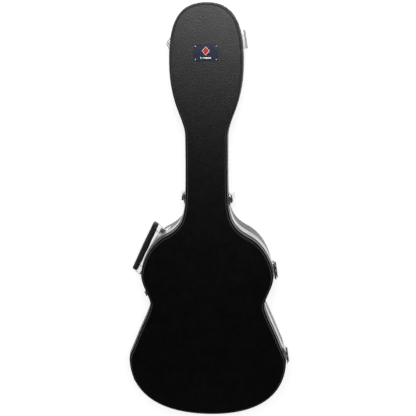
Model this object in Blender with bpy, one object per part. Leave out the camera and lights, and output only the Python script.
"""Hard case for a classical guitar, closed and lying on its back. Metres, +Z up.

The head end points to -X and the tail to +X. The hinges are on the +Y side, the handle and most
latches on the -Y side. The origin is the middle of the flat back. Hardware is drawn in its own
site frame on the rim: u runs along the rim, v points away from the case, w is up from the joint line.
"""

import math

import bmesh
import bpy
import numpy as np
from mathutils import Matrix, Vector

# --- Overall size -------------------------------------------------------------------------
LENGTH = 1.075
DEPTH = 0.130
JOINT_Z = 0.0905         # height of the joint between the two shells
GAP = 0.0003             # left between pieces that touch
RIM_GAP = 0.0002         # half the gap between the two aluminium rims

# Half outline of the rim from the crown of the head to the tail: distance from the crown, half
# width, tangent angle in degrees, reach of the curve before and after the point.
OUTLINE = (
    (0.000, 0.0000, 90.0, 0.000, 0.075),    # crown
    (0.140, 0.0890, 0.0, 0.078, 0.098),     # widest head
    (0.313, 0.0530, 0.0, 0.044, 0.068),     # top of the neck
    (0.457, 0.0545, 1.5, 0.060, 0.060),     # foot of the neck
    (0.564, 0.1075, 62.0, 0.047, 0.051),    # shoulder
    (0.673, 0.1725, 0.0, 0.026, 0.027),     # upper bout
    (0.751, 0.1505, 0.0, 0.018, 0.016),     # waist
    (0.850, 0.1890, 21.0, 0.030, 0.045),    # hip
    (0.912, 0.2115, 0.0, 0.014, 0.082),     # lower bout
    (LENGTH, 0.0000, -90.0, 0.159, 0.000),  # tail
)
OUTLINE_STEPS = (8, 5, 2, 5, 5, 4, 4, 3, 11)  # straight pieces in each stretch of the half outline

# --- Shells, rims and padding: profiles as (inset from the rim's outer face, height) ---------
RIM_LOW, RIM_HIGH = 0.0750, 0.1060
RIM_SHEET = 0.0012       # thickness of the rolled aluminium
RIM_WIDTH = 0.0060       # how far it turns in over the shell's edge
BOTTOM_LIP, LID_LIP = JOINT_Z - 0.0023, JOINT_Z + 0.0023  # edges of the two shells
BOTTOM_SHELL = (
    (0.0165, 0.0000), (0.0095, 0.0019), (0.0044, 0.0070), (0.0025, 0.0140), (0.0015, BOTTOM_LIP),
    (0.0045, BOTTOM_LIP), (0.0055, 0.0140), (0.0078, 0.0078), (0.0165, 0.0030),
)
BOTTOM_RIM = (
    (0.0000, RIM_LOW), (0.0000, JOINT_Z - RIM_GAP), (RIM_WIDTH, JOINT_Z - RIM_GAP),
    (RIM_WIDTH, BOTTOM_LIP + GAP), (RIM_SHEET, BOTTOM_LIP + GAP), (RIM_SHEET, RIM_LOW),
)
LID_RIM = (
    (0.0000, JOINT_Z + RIM_GAP), (0.0000, RIM_HIGH), (RIM_SHEET, RIM_HIGH), (RIM_SHEET, LID_LIP - GAP),
    (RIM_WIDTH, LID_LIP - GAP), (RIM_WIDTH, JOINT_Z + RIM_GAP),
)
LID_SHELL = (
    (0.0096, DEPTH), (0.0073, 0.1290), (0.0063, 0.1256), (0.0048, 0.1250), (0.0032, 0.1243),
    (0.0022, 0.1222), (0.0015, LID_LIP),
    (0.0045, LID_LIP), (0.0050, 0.1202), (0.0088, 0.1222), (0.0120, 0.1270),
)
BOTTOM_LINING = (
    (0.0170, 0.0034), (0.0066, 0.0150), (0.0066, JOINT_Z - 0.0008), (0.0165, JOINT_Z - 0.0008),
    (0.0185, JOINT_Z - 0.0030), (0.0200, 0.0230), (0.0290, 0.0134),
)
LID_LINING = (
    (0.0145, 0.1262), (0.0066, 0.1190), (0.0066, JOINT_Z + 0.0008), (0.0165, JOINT_Z + 0.0008),
    (0.0185, JOINT_Z + 0.0030), (0.0200, 0.1110), (0.0280, 0.1185),
)

# --- Inside the neck -----------------------------------------------------------------------
WELL_HALF = 0.0325             # half width of the padded well between the linings
WELL_FLOOR = 0.0140
WELL_CORNER = (0.0235, 0.0240)  # half width at the floor, height where the walls turn upright
WALL_TOP = 0.0430
BOX_WALLS = {"compartment_wall_head": (-0.2020, -0.1920), "compartment_wall_body": (-0.0450, -0.0350)}
NECK_REST_X = (-0.2350, -0.2035)
NECK_REST_TOP = 0.0860
NECK_NOTCH = ((0.0250, NECK_REST_TOP), (0.0205, 0.0730), (0.0120, 0.0670))
LID_X = (-0.2015, -0.0355)
BOX_LID_Y = (-0.0315, 0.0305)
BOX_LID_Z = (0.0433, 0.0480)
PULL = ((-0.1280, -0.0325, 0.0483), (-0.1080, -0.0200, 0.0493))  # low and high corner

# --- Hinges: on one straight line that touches the head and the lower bout ------------------
HINGE_SLOPE = math.radians(8.5)
HINGE_REACH = {"head": (0.00, 0.30), "upper": (0.50, 0.76), "lower": (0.78, 1.00)}
HINGE_LENGTH = 0.042
HINGE_KNUCKLES = 5
KNUCKLE_RADIUS = 0.0032
KNUCKLE_GAP = 0.0004
LEAF_FACE = 0.0018             # outer face of the leaves
LEAF_W = (0.0040, 0.0145)
HINGE_AXIS_V = KNUCKLE_RADIUS + GAP
HINGE_PIN_RADIUS = 0.0013
HINGE_RIVETS = (-0.0150, 0.0, 0.0150)

# --- Draw latches: distance from the crown and side of the case ------------------------------
LATCHES = {
    "head": (0.093, -1), "neck_left": (0.470, -1), "neck_right": (0.475, 1),
    "waist": (0.729, -1), "tail": (0.985, -1),
}
STRIP_THICK = 0.0013
LATCH_BASE_HALF, LATCH_BASE_W = 0.0170, (-0.0150, -0.0015)
KEEPER_HALF, KEEPER_W = 0.0130, (0.0015, 0.0130)
EAR_U = (0.0102, 0.0118)
ARM_U = (0.0079, 0.0093)
PIVOT = (0.0052, -0.0090)      # lever pivot, v and w
PIVOT_HOLE, PIVOT_PIN, PIVOT_PIN_HALF = 0.0015, 0.0012, 0.0126
CLAW_PIVOT = (0.0076, -0.0165)
CLAW_BAR, CLAW_BORE, CLAW_CURL = 0.0012, 0.0015, 0.0027
CLAW_HALF = 0.0065
CLAW_PLATE = (0.0074, 0.0089)  # inner and outer face of the claw
HOOK_W = (0.0074, 0.0094)
HOOK_TIP = 0.0056              # the hook hangs just clear of the keeper's lip
EAR_PROFILE = ((0.0055, -0.0132), (0.0080, -0.0112), (0.0080, -0.0068), (0.0055, -0.0048))
ARM_PROFILE = (
    (0.0030, -0.0076), (0.0042, -0.0062), (0.0064, -0.0062), (0.0080, -0.0078), (0.0094, -0.0150),
    (0.0108, -0.0260), (0.0092, -0.0260), (0.0060, -0.0195), (0.0036, -0.0130),
)
TAB_PROFILE = (
    (0.0094, -0.0225), (0.0106, -0.0225), (0.0118, -0.0300), (0.0143, -0.0352), (0.0133, -0.0362),
    (0.0104, -0.0310),
)
LIP_PROFILE = ((0.0036, 0.0044), (0.0048, 0.0052), (0.0048, 0.0086), (0.0038, 0.0086), (0.0036, 0.0062))
LIP_HALF = 0.0080
LATCH_RIVETS = (0.0146, -0.0082)
KEEPER_RIVETS = (0.0106, 0.0095)

# --- Handle on the upper bout -----------------------------------------------------------------
HANDLE_SLOPE = math.radians(25.3)
RING_AXIS = (-0.0080, -0.0285)   # v and w of the leg in the bracket
GRIP_AXIS = (0.0115, -0.0465)    # v and w of the leg in the grip
RING_U = (0.0545, 0.0747)        # the ring's two arms
WIRE = 0.0015
WIRE_BEND = 0.0030
GRIP_HALF = 0.0713
GRIP_BORE = 0.0021
GRIP_SLOT_HALF = 0.0024
GRIP_TILT = 20.0                 # degrees that the grip turns each way on its rings
BRACKET_HALF = 0.0210
BRACKET_Z = (0.0500, 0.0740)
BRACKET_INSET = 0.0016           # the bottom shell's wall at that height
SLEEVE_U = (0.0578, 0.0714)
SLEEVE_RADIUS, SLEEVE_BORE = 0.0034, 0.0020
BRACKET_RIVETS = ((-0.0160, 0.0545), (-0.0160, 0.0695), (0.0160, 0.0545), (0.0160, 0.0695))

# --- Nameplate on the head of the lid -----------------------------------------------------------
PLATE_X, PLATE_SIZE, PLATE_THICK = -0.4230, (0.0380, 0.0570), 0.0012
PLATE_RIVETS = (0.0150, 0.0245)
RIVET_RADIUS, RIVET_HEIGHT = 0.0021, 0.0013
RIVET_SINK = 0.0003              # how far a head is set into its plate
SMALL_RIVET = 0.0016

MATERIALS = {  # colour, roughness, metallic
    "black_abs": ((0.012, 0.012, 0.013), 0.48, 0.0),
    "aluminium": ((0.74, 0.75, 0.77), 0.30, 1.0),
    "chrome": ((0.78, 0.78, 0.79), 0.12, 1.0),
    "black_grip": ((0.010, 0.010, 0.010), 0.42, 0.0),
    "plush": ((0.030, 0.028, 0.034), 0.95, 0.0),
    "plate": ((0.016, 0.024, 0.060), 0.30, 0.4),
}


# --- Outline ---------------------------------------------------------------------------------
def half_outline(steps):
    """Points of the half outline, x from the middle of the case and half width, and their outward
    normals, with the given number of straight pieces in each stretch."""
    points, normals = [], []
    for (start, end, count) in zip(OUTLINE[:-1], OUTLINE[1:], steps):
        p0, p3 = np.array(start[:2]), np.array(end[:2])
        out, into = math.radians(start[2]), math.radians(end[2])
        p1 = p0 + start[4] * np.array((math.cos(out), math.sin(out)))
        p2 = p3 - end[3] * np.array((math.cos(into), math.sin(into)))
        for t in np.linspace(0, 1, count + 1)[: None if end is OUTLINE[-1] else -1]:
            s = 1 - t
            points.append(s**3 * p0 + 3 * s * s * t * p1 + 3 * s * t * t * p2 + t**3 * p3)
            along = s * s * (p1 - p0) + 2 * s * t * (p2 - p1) + t * t * (p3 - p2)
            normals.append(np.array((-along[1], along[0])) / np.hypot(*along))
    return np.array(points) - (LENGTH / 2, 0), np.array(normals)


def rim_loop():
    """The whole outline, counter-clockwise from the crown, with outward normals."""
    points, normals = half_outline(OUTLINE_STEPS)
    points[0, 1] = points[-1, 1] = 0
    minus = np.array((1, -1))
    loop = np.concatenate((points * minus, points[-2:0:-1]))
    outward = np.concatenate((normals * minus, normals[-2:0:-1]))
    return loop, outward


LOOP, OUTWARD = rim_loop()


def nearest(x_from_crown, side):
    """Place on the rim's facets at this distance from the crown, and the outline's normal there."""
    points, normals = half_outline([40] * len(OUTLINE_STEPS))
    x = x_from_crown - LENGTH / 2
    normal = np.array([np.interp(x, points[:, 0], normals[:, k]) for k in (0, 1)])
    coarse, _ = half_outline(OUTLINE_STEPS)
    place = np.array((x, np.interp(x, coarse[:, 0], coarse[:, 1])))
    flip = np.array((1, side))
    return place * flip, normal / np.hypot(*normal) * flip


def site_frame(place, normal, height=JOINT_Z):
    """Matrix of a site frame: u along the rim, v outwards, w up."""
    u = Vector((normal[1], -normal[0], 0))
    v = Vector((normal[0], normal[1], 0))
    frame = Matrix.Identity(4)
    for column, axis in enumerate((u, v, Vector((0, 0, 1)))):
        frame.col[column].xyz = axis
    frame.translation = (place[0], place[1], height)
    return frame


def rim_stretch(frame, low, high):
    """The rim's facets between two u of a site, as (u, v) in its frame with the ends cut to size."""
    back = frame.inverted()
    local = [back @ Vector((*p, JOINT_Z)) for p in LOOP]
    near = [(q.x, q.y) for q in local if low - 0.06 < q.x < high + 0.06 and abs(q.y) < 0.03]
    near.sort()
    us, vs = zip(*near)
    inner = [(u, v) for u, v in near if low < u < high]
    ends = [(u, float(np.interp(u, us, vs))) for u in (low, high)]
    return [ends[0], *inner, ends[1]]


# --- Mesh helpers ------------------------------------------------------------------------------
def new_object(name, mesh, material):
    made = bpy.data.objects.new(name, mesh)
    bpy.context.scene.collection.objects.link(made)
    if material:
        mesh.materials.clear()
        mesh.materials.append(MADE_MATERIALS[material])
    return made


def mesh_from(name, vertices, faces):
    """A closed mesh with its faces pointing out."""
    work = bmesh.new()
    points = [work.verts.new(p) for p in vertices]
    for face in faces:
        work.faces.new([points[i] for i in face])
    bmesh.ops.recalc_face_normals(work, faces=work.faces)
    mesh = bpy.data.meshes.new(name)
    work.to_mesh(mesh)
    work.free()
    return mesh


def swept(name, profile, closed):
    """The profile carried round the rim. A closed profile makes a ring; an open one is capped."""
    count = len(LOOP)
    rings = [[(*(LOOP[i] - OUTWARD[i] * inset), z) for i in range(count)] for inset, z in profile]
    vertices = [p for ring in rings for p in ring]
    pairs = list(zip(range(len(profile)), range(1, len(profile))))
    if closed:
        pairs.append((len(profile) - 1, 0))
    faces = []
    for a, b in pairs:
        for i in range(count):
            j = (i + 1) % count
            faces.append((a * count + i, a * count + j, b * count + j, b * count + i))
    if not closed:
        faces.append(range(count))
        faces.append(range((len(profile) - 1) * count, len(profile) * count))
    return mesh_from(name, vertices, faces)


def prism(outline, low, high, axis=0):
    """The closed outline, given in the two axes after this one, made solid from low to high."""
    first, second = (axis + 1) % 3, (axis + 2) % 3
    vertices = []
    for level in (low, high):
        for a, b in outline:
            point = [0.0, 0.0, 0.0]
            point[axis], point[first], point[second] = level, a, b
            vertices.append(point)
    n = len(outline)
    faces = [(i, (i + 1) % n, n + (i + 1) % n, n + i) for i in range(n)]
    return mesh_from("prism", vertices, [*faces, range(n), range(n, 2 * n)])


def arc(centre, radius, start, end, count):
    """Points on an arc, angles in degrees."""
    angles = np.radians(np.linspace(start, end, count))
    return [(centre[0] + radius * math.cos(a), centre[1] + radius * math.sin(a)) for a in angles]


def rod(centre, radius, low, high, sides=10, axis=0):
    """A round bar along an axis, centred on the point in the two axes after it."""
    return prism(arc(centre, radius, 0, 360 * (1 - 1 / sides), sides), low, high, axis)


def block(low, high):
    return prism(((low[1], low[2]), (high[1], low[2]), (high[1], high[2]), (low[1], high[2])), low[0], high[0])


def strip(frame, half, v_inner, v_outer, w_low, w_high, inset=0.0, middle=0.0):
    """A plate bent to the rim, from v_inner to v_outer outside the wall at that inset."""
    stretch = rim_stretch(frame, middle - half, middle + half)
    inner = [(u, v - inset + v_inner) for u, v in stretch]
    outer = [(u, v - inset + v_outer) for u, v in reversed(stretch)]
    return prism([*inner, *outer], w_low, w_high, axis=2)


def joined(meshes, cuts=()):
    """One solid from overlapping meshes, with the cuts taken away."""
    target = bpy.data.objects.new("join", meshes[0])
    bpy.context.scene.collection.objects.link(target)
    for tool_mesh, operation in [*((m, "UNION") for m in meshes[1:]), *((m, "DIFFERENCE") for m in cuts)]:
        tool = bpy.data.objects.new("tool", tool_mesh)
        bpy.context.scene.collection.objects.link(tool)
        modifier = target.modifiers.new("join", "BOOLEAN")
        modifier.object = tool
        modifier.operation = operation
        modifier.solver = "EXACT"
        graph = bpy.context.evaluated_depsgraph_get()
        target.data = bpy.data.meshes.new_from_object(target.evaluated_get(graph))
        target.modifiers.clear()
        bpy.data.objects.remove(tool)
    mesh = target.data
    bpy.data.objects.remove(target)
    return mesh


def place(name, mesh, frame, material, origin=(0, 0, 0), parent=None, smooth=False):
    """An object whose mesh is drawn in a site frame, with its origin at this point of the frame."""
    mesh.transform(Matrix.Translation(-Vector(origin)))
    if smooth:
        mesh.shade_smooth()
        mesh.set_sharp_from_angle(angle=math.radians(40))
    made = new_object(name, mesh, material)
    made.matrix_world = frame @ Matrix.Translation(Vector(origin))
    if parent:
        bpy.context.view_layer.update()
        made.parent = parent
        made.matrix_parent_inverse = parent.matrix_world.inverted()
    return made


def axis_empty(name, matrix, parent=None):
    """An empty on a joint's axis, with its X along the axis."""
    made = bpy.data.objects.new(name, None)
    made.empty_display_size = 0.02
    bpy.context.scene.collection.objects.link(made)
    made.matrix_world = matrix
    if parent:
        bpy.context.view_layer.update()
        made.parent = parent
        made.matrix_parent_inverse = parent.matrix_world.inverted()
    bpy.context.view_layer.update()
    return made


def rivet(u, v, w, radius=RIVET_RADIUS):
    """A low dome head that rises along v from this foot."""
    foot = [(u + x, v, w + z) for x, z in arc((0, 0), radius, 0, 315, 8)]
    crown = [(u + x, v + RIVET_HEIGHT, w + z) for x, z in arc((0, 0), radius * 0.55, 0, 315, 8)]
    faces = [(i, (i + 1) % 8, 8 + (i + 1) % 8, 8 + i) for i in range(8)]
    return mesh_from("rivet", [*foot, *crown], [*faces, range(8), range(8, 16)])


def strip_rivet(frame, u, w, wall_inset=0.0):
    """A rivet head set into a plate that is bent to the rim."""
    wall = min(v for _, v in rim_stretch(frame, u - RIVET_RADIUS, u + RIVET_RADIUS)) - wall_inset
    return rivet(u, wall + GAP + STRIP_THICK - RIVET_SINK, w)


# --- Sub-parts ----------------------------------------------------------------------------------
def build_shells(lid):
    identity = Matrix.Identity(4)
    for name, profile, closed, material, parent in (
        ("bottom_shell", BOTTOM_SHELL, False, "black_abs", None),
        ("bottom_valance", BOTTOM_RIM, True, "aluminium", None),
        ("bottom_lining", BOTTOM_LINING, False, "plush", None),
        ("lid_shell", LID_SHELL, False, "black_abs", lid),
        ("lid_valance", LID_RIM, True, "aluminium", lid),
        ("lid_lining", LID_LINING, False, "plush", lid),
    ):
        place(name, swept(name, profile, closed), identity, material, parent=parent, smooth=True)


def well_outline(top):
    """Cross-section of a padded block that stands in the neck's well, as (y, z)."""
    left = [(-WELL_HALF, top), (-WELL_HALF, WELL_CORNER[1]), (-WELL_CORNER[0], WELL_FLOOR)]
    return [*left, *[(-y, z) for y, z in reversed(left)]]


def build_neck_well():
    identity = Matrix.Identity(4)
    for name, (low, high) in BOX_WALLS.items():
        place(name, prism(well_outline(WALL_TOP), low, high), identity, "plush")
    notch = [*NECK_NOTCH, *[(-y, z) for y, z in reversed(NECK_NOTCH)]]
    rest = prism([*well_outline(NECK_REST_TOP), *notch], *NECK_REST_X)
    place("neck_rest", rest, identity, "plush")

    hinge = Matrix.Translation((LID_X[0], BOX_LID_Y[1], BOX_LID_Z[1]))
    axis = axis_empty("compartment_axis", hinge)
    low, high = zip(LID_X, BOX_LID_Y, BOX_LID_Z)
    place("compartment_lid", block(low, high), identity, "plush", parent=axis)
    place("compartment_pull", block(*PULL), identity, "plush", parent=axis)


def hinge_sites():
    """Each hinge's frame on the hinge line, and how far the rim stands behind that line there."""
    points, _ = half_outline([60] * len(OUTLINE_STEPS))
    normal = np.array((-math.sin(HINGE_SLOPE), math.cos(HINGE_SLOPE)))
    reach = points @ normal
    touches = {}
    for name, (low, high) in HINGE_REACH.items():
        inside = (points[:, 0] + LENGTH / 2 >= low) & (points[:, 0] + LENGTH / 2 <= high)
        best = np.flatnonzero(inside)[reach[inside].argmax()]
        touches[name] = (points[best], reach[best])
    line = max(offset for _, offset in touches.values())
    sites = {}
    for name, (touch, offset) in touches.items():
        frame = site_frame(touch + normal * (line - offset), normal)
        # Turned so that u runs towards the tail, as the hinge line does.
        sites[name] = (frame, line - offset)
    return sites


def leaf_mesh(behind, sign, knuckles):
    """A leaf riveted to the rim, above (sign 1) or below (-1) the joint, with its rolled knuckles."""
    half = HINGE_LENGTH / 2
    pitch = HINGE_LENGTH / HINGE_KNUCKLES
    low, high = sorted((sign * LEAF_W[0], sign * LEAF_W[1]))
    plate = block((-half, GAP - behind, low), (half, LEAF_FACE, high))
    centre = (HINGE_AXIS_V, 0.0)
    meet = math.degrees(math.acos((HINGE_AXIS_V - LEAF_FACE) / KNUCKLE_RADIUS))
    roll = [(GAP, 0.0), *arc(centre, KNUCKLE_RADIUS, 180, 540 - meet, 13)[1:]]
    roll = [*roll, (LEAF_FACE, LEAF_W[0] + 0.001), (GAP, LEAF_W[0] + 0.001)]
    roll = [(v, sign * w) for v, w in roll]
    parts = [plate, *(rivet(u, LEAF_FACE - RIVET_SINK, (low + high) / 2) for u in HINGE_RIVETS)]
    for k in knuckles:
        start = -half + k * pitch + KNUCKLE_GAP / 2
        parts.append(prism(roll, start, start + pitch - KNUCKLE_GAP))
    return joined(parts, [rod(centre, HINGE_PIN_RADIUS + 0.0002, -half - 0.001, half + 0.001, 10)])


def build_hinges(lid):
    for name, (frame, behind) in hinge_sites().items():
        base = leaf_mesh(behind, -1, range(0, HINGE_KNUCKLES, 2))
        place(f"hinge_{name}_base_leaf", base, frame, "chrome", smooth=True)
        leaf = leaf_mesh(behind, 1, range(1, HINGE_KNUCKLES, 2))
        place(f"hinge_{name}_lid_leaf", leaf, frame, "chrome", parent=lid, smooth=True)
        pin = rod((HINGE_AXIS_V, 0), HINGE_PIN_RADIUS, -HINGE_LENGTH / 2 - 0.0006, HINGE_LENGTH / 2 + 0.0006)
        place(f"hinge_{name}_pin", pin, frame, "chrome", smooth=True)


def claw_mesh():
    """The claw: curled round the lever's bar below, a hook above."""
    inner_face, outer_face = CLAW_PLATE
    v, w = CLAW_PIVOT
    start = math.degrees(math.acos((outer_face - v) / CLAW_CURL))
    end = -215.0
    curl = arc((v, w), CLAW_CURL, start, end, 10)
    bore = arc((v, w), CLAW_BORE, end, 60, 9)
    plate = [(inner_face, w + 0.0030), (inner_face, HOOK_W[0]), (HOOK_TIP, HOOK_W[0]), (HOOK_TIP, HOOK_W[1])]
    plate.append((outer_face, HOOK_W[1]))
    return prism([*curl, *bore, *plate], -CLAW_HALF, CLAW_HALF)


def lever_mesh():
    arms = [prism(ARM_PROFILE, *span) for span in (ARM_U, (-ARM_U[1], -ARM_U[0]))]
    tab = prism(TAB_PROFILE, -ARM_U[1], ARM_U[1])
    bar = rod(CLAW_PIVOT, CLAW_BAR, -ARM_U[0] - 0.0005, ARM_U[0] + 0.0005, 8)
    hole = rod(PIVOT, PIVOT_HOLE, -EAR_U[1], EAR_U[1], 8)
    return joined([tab, *arms, bar], [hole])


def ear_meshes(frame):
    """Two upright ears that stand on the base plate and carry the lever's pin."""
    ears = []
    for low, high in (EAR_U, (-EAR_U[1], -EAR_U[0])):
        wall = [v for _, v in rim_stretch(frame, low, high)]
        foot = max(wall) + GAP + STRIP_THICK * 0.4
        ears.append(prism([(foot, -0.0140), *EAR_PROFILE, (foot, -0.0040)], low, high))
    return ears


def build_latches(lid):
    for name, (x, side) in LATCHES.items():
        frame = site_frame(*nearest(x, side))
        plate = strip(frame, LATCH_BASE_HALF, GAP, GAP + STRIP_THICK, *LATCH_BASE_W)
        hole = rod(PIVOT, PIVOT_HOLE, -EAR_U[1] - 0.001, EAR_U[1] + 0.001, 8)
        heads = [strip_rivet(frame, end * LATCH_RIVETS[0], LATCH_RIVETS[1]) for end in (-1, 1)]
        base = joined([plate, *ear_meshes(frame), *heads], [hole])
        place(f"latch_{name}_base", base, frame, "chrome")

        keeper_plate = strip(frame, KEEPER_HALF, GAP, GAP + STRIP_THICK, *KEEPER_W)
        wall = max(v for _, v in rim_stretch(frame, -LIP_HALF, LIP_HALF))
        foot = wall + GAP + STRIP_THICK * 0.4
        lip = prism([(foot, 0.0044), *LIP_PROFILE, (foot, 0.0062)], -LIP_HALF, LIP_HALF)
        heads = [strip_rivet(frame, end * KEEPER_RIVETS[0], KEEPER_RIVETS[1]) for end in (-1, 1)]
        keeper = joined([keeper_plate, lip, *heads])
        place(f"latch_{name}_keeper", keeper, frame, "chrome", parent=lid)

        axis = axis_empty(f"latch_{name}_axis", frame @ Matrix.Translation((0, *PIVOT)))
        place(f"latch_{name}_lever", lever_mesh(), frame, "chrome", (0, *PIVOT), axis, smooth=True)
        claw_axis = axis_empty(f"latch_{name}_claw_axis", frame @ Matrix.Translation((0, *CLAW_PIVOT)), axis)
        place(f"latch_{name}_claw", claw_mesh(), frame, "chrome", (0, *CLAW_PIVOT), claw_axis, smooth=True)

        pin = rod(PIVOT, PIVOT_PIN, -PIVOT_PIN_HALF, PIVOT_PIN_HALF, 8)
        place(f"latch_{name}_pin", pin, frame, "chrome", smooth=True)


def handle_frame():
    """Site frame where the rim touches a line at the handle's slope. u points towards the head."""
    points, _ = half_outline([60] * len(OUTLINE_STEPS))
    bout = points[(points[:, 0] > 0) & (points[:, 0] < 0.16)] * (1, -1)
    normal = np.array((-math.sin(HANDLE_SLOPE), -math.cos(HANDLE_SLOPE)))
    return site_frame(bout[(bout @ normal).argmax()], normal)


def ring_mesh(low_u, high_u):
    """A rectangular wire ring between the bracket's axis and the grip's axis."""
    inner, outer = Vector(RING_AXIS), Vector(GRIP_AXIS)
    reach = (outer - inner).length
    across = (outer - inner).normalized()
    corners = []
    for centre, start in (
        ((high_u - WIRE_BEND, reach - WIRE_BEND), 0), ((low_u + WIRE_BEND, reach - WIRE_BEND), 90),
        ((low_u + WIRE_BEND, WIRE_BEND), 180), ((high_u - WIRE_BEND, WIRE_BEND), 270),
    ):
        corners += arc(centre, WIRE_BEND, start, start + 90, 4)
    path = [Vector((u, *(inner + across * r))) for u, r in corners]
    normal = Vector((0, -across.y, across.x))
    sides, vertices, faces = 6, [], []
    for i, point in enumerate(path):
        along = (path[(i + 1) % len(path)] - path[i - 1]).normalized()
        side = along.cross(normal)
        for a in np.radians(np.arange(sides) * 360 / sides):
            vertices.append(point + side * (WIRE * math.cos(a)) + normal * (WIRE * math.sin(a)))
    for i in range(len(path)):
        j = (i + 1) % len(path)
        for k in range(sides):
            m = (k + 1) % sides
            faces.append((i * sides + k, i * sides + m, j * sides + m, j * sides + k))
    return mesh_from("ring", vertices, faces)


def grip_section(u):
    """Outline of the grip at u, about its axis: flat outside, a swell for the fingers inside."""
    share = abs(u) / GRIP_HALF
    swell = 0.5 + 0.5 * math.cos(math.pi * min(1.0, share * 1.15))
    inner, outer, half = 0.0076 + 0.0016 * swell, 0.0068 + 0.0012 * swell, 0.0110 + 0.0010 * swell
    if share > 0.97:
        inner, outer, half = inner * 0.72, outer * 0.72, half * 0.78
    low, high = [(outer, -half * 0.62), (outer * 0.55, -half)], [(outer * 0.55, half), (outer, half * 0.62)]
    back = [(-inner * math.cos(a), half * math.sin(a)) for a in np.radians((64, 32, 0, -32, -64))]
    return [*reversed(high), *back, *reversed(low)]


def grip_mesh():
    stations = [-1.0, -0.955, -0.76, -0.5, -0.2, 0.2, 0.5, 0.76, 0.955, 1.0]
    v0, w0 = GRIP_AXIS
    vertices, faces = [], []
    for share in stations:
        u = share * GRIP_HALF
        vertices += [(u, v0 + v, w0 + w) for v, w in grip_section(u)]
    n = len(vertices) // len(stations)
    for s in range(len(stations) - 1):
        for i in range(n):
            j = (i + 1) % n
            faces.append((s * n + i, s * n + j, (s + 1) * n + j, (s + 1) * n + i))
    faces.append(range(n))
    faces.append(range(len(vertices) - n, len(vertices)))
    body = mesh_from("grip", vertices, faces)

    # The ring's inner arm sweeps a fan-shaped slot as the grip turns.
    arm = math.degrees(math.atan2(RING_AXIS[1] - w0, RING_AXIS[0] - v0))
    first, last = arm - GRIP_TILT, arm + GRIP_TILT
    side_first = arc(GRIP_AXIS, GRIP_BORE, first - 90, first - 90, 1)[0]
    side_last = arc(GRIP_AXIS, GRIP_BORE, last + 90, last + 90, 1)[0]
    fan = [side_first, *arc(side_first, 0.03, first, first, 1), *arc(side_last, 0.03, last, last, 1), side_last]
    cuts = []
    for end in (-1, 1):
        low, high = sorted((end * (RING_U[0] - GRIP_SLOT_HALF), end * (GRIP_HALF + 0.01)))
        cuts.append(rod(GRIP_AXIS, GRIP_BORE, low, high, 8))
        middle = end * RING_U[0]
        cuts.append(prism(fan, middle - GRIP_SLOT_HALF, middle + GRIP_SLOT_HALF))
    return joined([body], cuts)


def bracket_mesh(frame, end):
    """Plate riveted to the wall, with a sleeve for the ring's inner leg."""
    middle = end * sum(SLEEVE_U) / 2
    low, high = sorted(end * u for u in SLEEVE_U)
    walls = [v - BRACKET_INSET for _, v in rim_stretch(frame, low, high)]
    site = site_frame(*nearest((frame @ Vector((middle, walls[0], 0))).x + LENGTH / 2, -1))
    to_handle = frame.inverted() @ site
    w_low, w_high = (z - JOINT_Z for z in BRACKET_Z)
    plate = strip(site, BRACKET_HALF, GAP, GAP + STRIP_THICK, w_low, w_high, BRACKET_INSET)
    heads = [strip_rivet(site, u, z - JOINT_Z, BRACKET_INSET) for u, z in BRACKET_RIVETS]
    for mesh in (plate, *heads):
        mesh.transform(to_handle)

    sleeve = rod(RING_AXIS, SLEEVE_RADIUS, low, high, 12)
    v, w = RING_AXIS
    height = SLEEVE_RADIUS * 0.8
    vertices = []
    for u, wall in ((low, walls[0]), (high, walls[-1])):
        foot = wall + GAP + STRIP_THICK / 2
        vertices += [(u, foot, w - height), (u, v, w - height), (u, v, w + height), (u, foot, w + height)]
    faces = [(0, 1, 2, 3), (4, 5, 6, 7), (0, 1, 5, 4), (1, 2, 6, 5), (2, 3, 7, 6), (3, 0, 4, 7)]
    pillar = mesh_from("pillar", vertices, faces)
    bore = rod(RING_AXIS, SLEEVE_BORE, low - 0.001, high + 0.001, 10)
    return joined([plate, pillar, sleeve, *heads], [bore])


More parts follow.
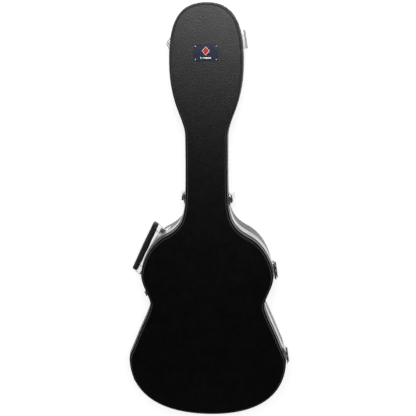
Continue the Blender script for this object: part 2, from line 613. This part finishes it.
def build_handle():
    frame = handle_frame()
    swing = axis_empty("handle_swing_axis", frame @ Matrix.Translation((0, *RING_AXIS)))
    tilt = axis_empty("handle_tilt_axis", frame @ Matrix.Translation((0, *GRIP_AXIS)), swing)
    place("handle_grip", grip_mesh(), frame, "black_grip", (0, *GRIP_AXIS), tilt, smooth=True)
    for end, name in ((1, "head"), (-1, "tail")):
        low, high = sorted(end * u for u in RING_U)
        place(f"handle_ring_{name}", ring_mesh(low, high), frame, "chrome", (0, *RING_AXIS), swing, smooth=True)
        place(f"handle_bracket_{name}", bracket_mesh(frame, end), frame, "chrome")


def build_nameplate(lid):
    x, y = (size / 2 for size in PLATE_SIZE)
    low, high = (PLATE_X - x, -y, DEPTH + GAP), (PLATE_X + x, y, DEPTH + GAP + PLATE_THICK)
    place("nameplate", block(low, high), Matrix.Identity(4), "plate", parent=lid)
    top = DEPTH + 2 * GAP + PLATE_THICK
    facing_up = Matrix(((1, 0, 0, PLATE_X), (0, 0, -1, 0), (0, 1, 0, top), (0, 0, 0, 1)))
    corners = {"crown_right": (-1, -1), "crown_left": (-1, 1), "neck_right": (1, -1), "neck_left": (1, 1)}
    for name, (a, b) in corners.items():
        head = rivet(a * PLATE_RIVETS[0], 0, b * PLATE_RIVETS[1], SMALL_RIVET)
        place(f"nameplate_rivet_{name}", head, facing_up, "chrome", parent=lid)


def make_material(name, colour, roughness, metallic):
    material = bpy.data.materials.new(name)
    material.use_nodes = True
    shader = material.node_tree.nodes["Principled BSDF"]
    shader.inputs["Base Color"].default_value = (*colour, 1)
    shader.inputs["Roughness"].default_value = roughness
    shader.inputs["Metallic"].default_value = metallic
    return material


for old in list(bpy.data.objects):
    bpy.data.objects.remove(old)
MADE_MATERIALS = {name: make_material(name, *look) for name, look in MATERIALS.items()}


def main():
    any_hinge = hinge_sites()["upper"][0]
    lid = axis_empty("lid_axis", any_hinge @ Matrix.Translation((0, HINGE_AXIS_V, 0)))
    build_shells(lid)
    build_neck_well()
    build_hinges(lid)
    build_latches(lid)
    build_handle()
    build_nameplate(lid)


main()
